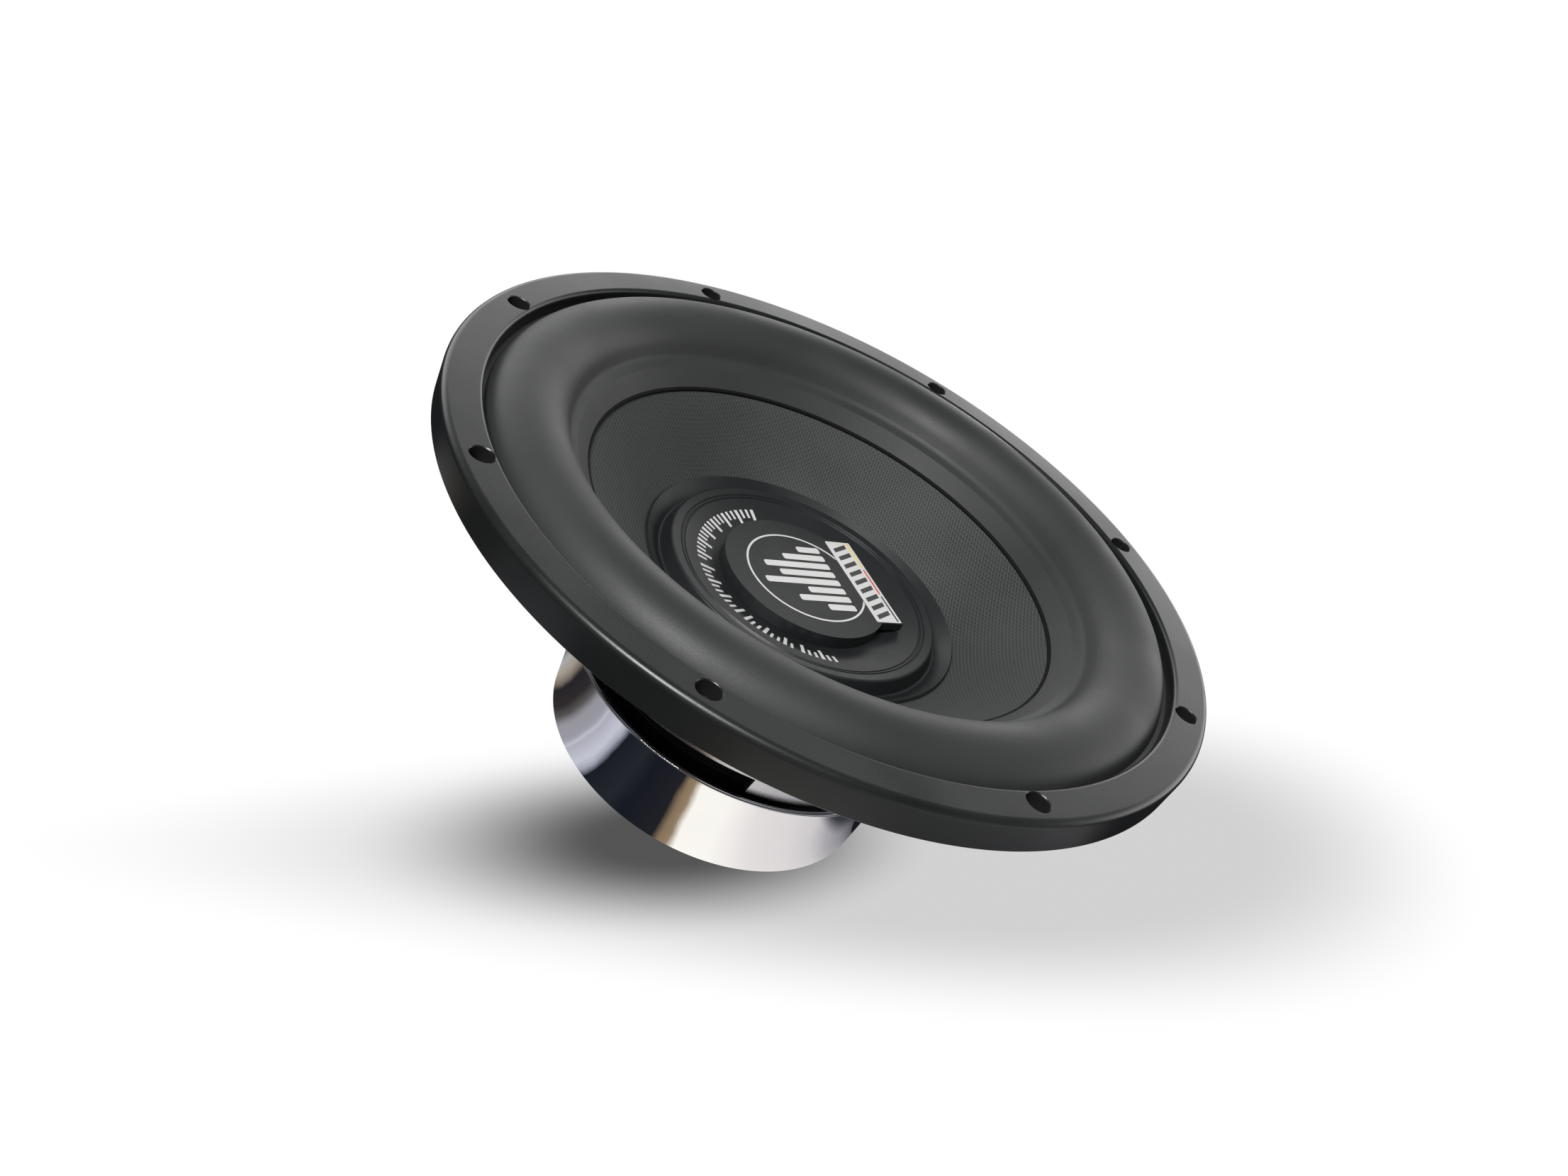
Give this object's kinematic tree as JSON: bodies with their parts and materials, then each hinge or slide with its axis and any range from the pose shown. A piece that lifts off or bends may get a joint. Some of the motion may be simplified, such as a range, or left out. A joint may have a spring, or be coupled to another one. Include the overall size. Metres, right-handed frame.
{
  "type": "car subwoofer speaker",
  "caption": "Round subwoofer driver with a wide rubber half roll, woven cone, dished dust cap, stamped basket and chrome magnet cover.",
  "frame": {"origin": "middle of the magnet cover's flat underside", "axes": "+Z along the voice coil's axis, out of the cone; +X through one bolt hole of the trim ring"},
  "size_m": [0.31, 0.31, 0.1331],
  "materials": {
    "trim_rubber": "satin moulded rubber with a fine grain",
    "surround_rubber": "smooth matt butyl rubber",
    "woven_cone": "fine woven cloth bonded on the cone",
    "cap_plastic": "fine satin moulded plastic with white print",
    "zinc_steel": "bright zinc-plated stamped steel",
    "chrome": "polished chrome",
    "black_steel": "black passivated steel",
    "ferrite": "ground black ferrite",
    "foam": "closed-cell foam",
    "spider_cloth": "resin-stiffened woven cotton",
    "kapton": "amber polyimide film",
    "copper": "lacquered copper wire",
    "black_plastic": "matt moulded plastic",
    "red_plastic": "satin red moulded plastic",
    "brass": "bright brass strip",
    "steel": "plated steel",
    "tinsel_braid": "braided tinsel wire"
  },
  "bodies": {
    "frame": {"magnet_cover": "chrome", "vent_grille": "black_plastic", "cover_pad": "foam", "back_plate_and_pole": "black_steel", "magnet_ring": "ferrite", "top_plate": "black_steel", "basket": "zinc_steel", "rear_gasket": "foam", "seat_screw_1": "steel", "seat_screw_2": "steel", "seat_screw_3": "steel", "seat_screw_4": "steel", "seat_screw_5": "steel", "seat_screw_6": "steel", "trim_ring": "trim_rubber", "surround": "surround_rubber", "spider": "spider_cloth", "terminal_block": "black_plastic", "negative_spring": "steel", "negative_contact": "brass", "negative_lead": "tinsel_braid", "positive_spring": "steel", "positive_contact": "brass", "positive_lead": "tinsel_braid", "block_screw_1": "steel", "block_screw_2": "steel"},
    "cone_assembly": {"cone": "woven_cone", "dust_cap": "cap_plastic", "centre_badge": "cap_plastic", "coil_former": "kapton", "coil_winding": "copper", "former_collar": "kapton"},
    "negative_post": {"negative_button": "black_plastic"},
    "positive_post": {"positive_button": "red_plastic"}
  },
  "joints": [
    {"name": "cone_travel", "type": "slide", "parent": "frame", "child": "cone_assembly", "axis": [0, 0, 1], "range_m": [-0.01, 0.01], "stiffness_N_per_m": 5000, "deforming": ["surround", "spider", "negative_lead", "positive_lead"]},
    {"name": "negative_push", "type": "slide", "parent": "frame", "child": "negative_post", "axis": [0.4397, -0.5943, 0.6734], "range_m": [0, 0.004], "stiffness_N_per_m": 1500, "deforming": ["negative_spring"]},
    {"name": "positive_push", "type": "slide", "parent": "frame", "child": "positive_post", "axis": [0.4397, -0.5943, 0.6734], "range_m": [0, 0.004], "stiffness_N_per_m": 1500, "deforming": ["positive_spring"]}
  ]
}
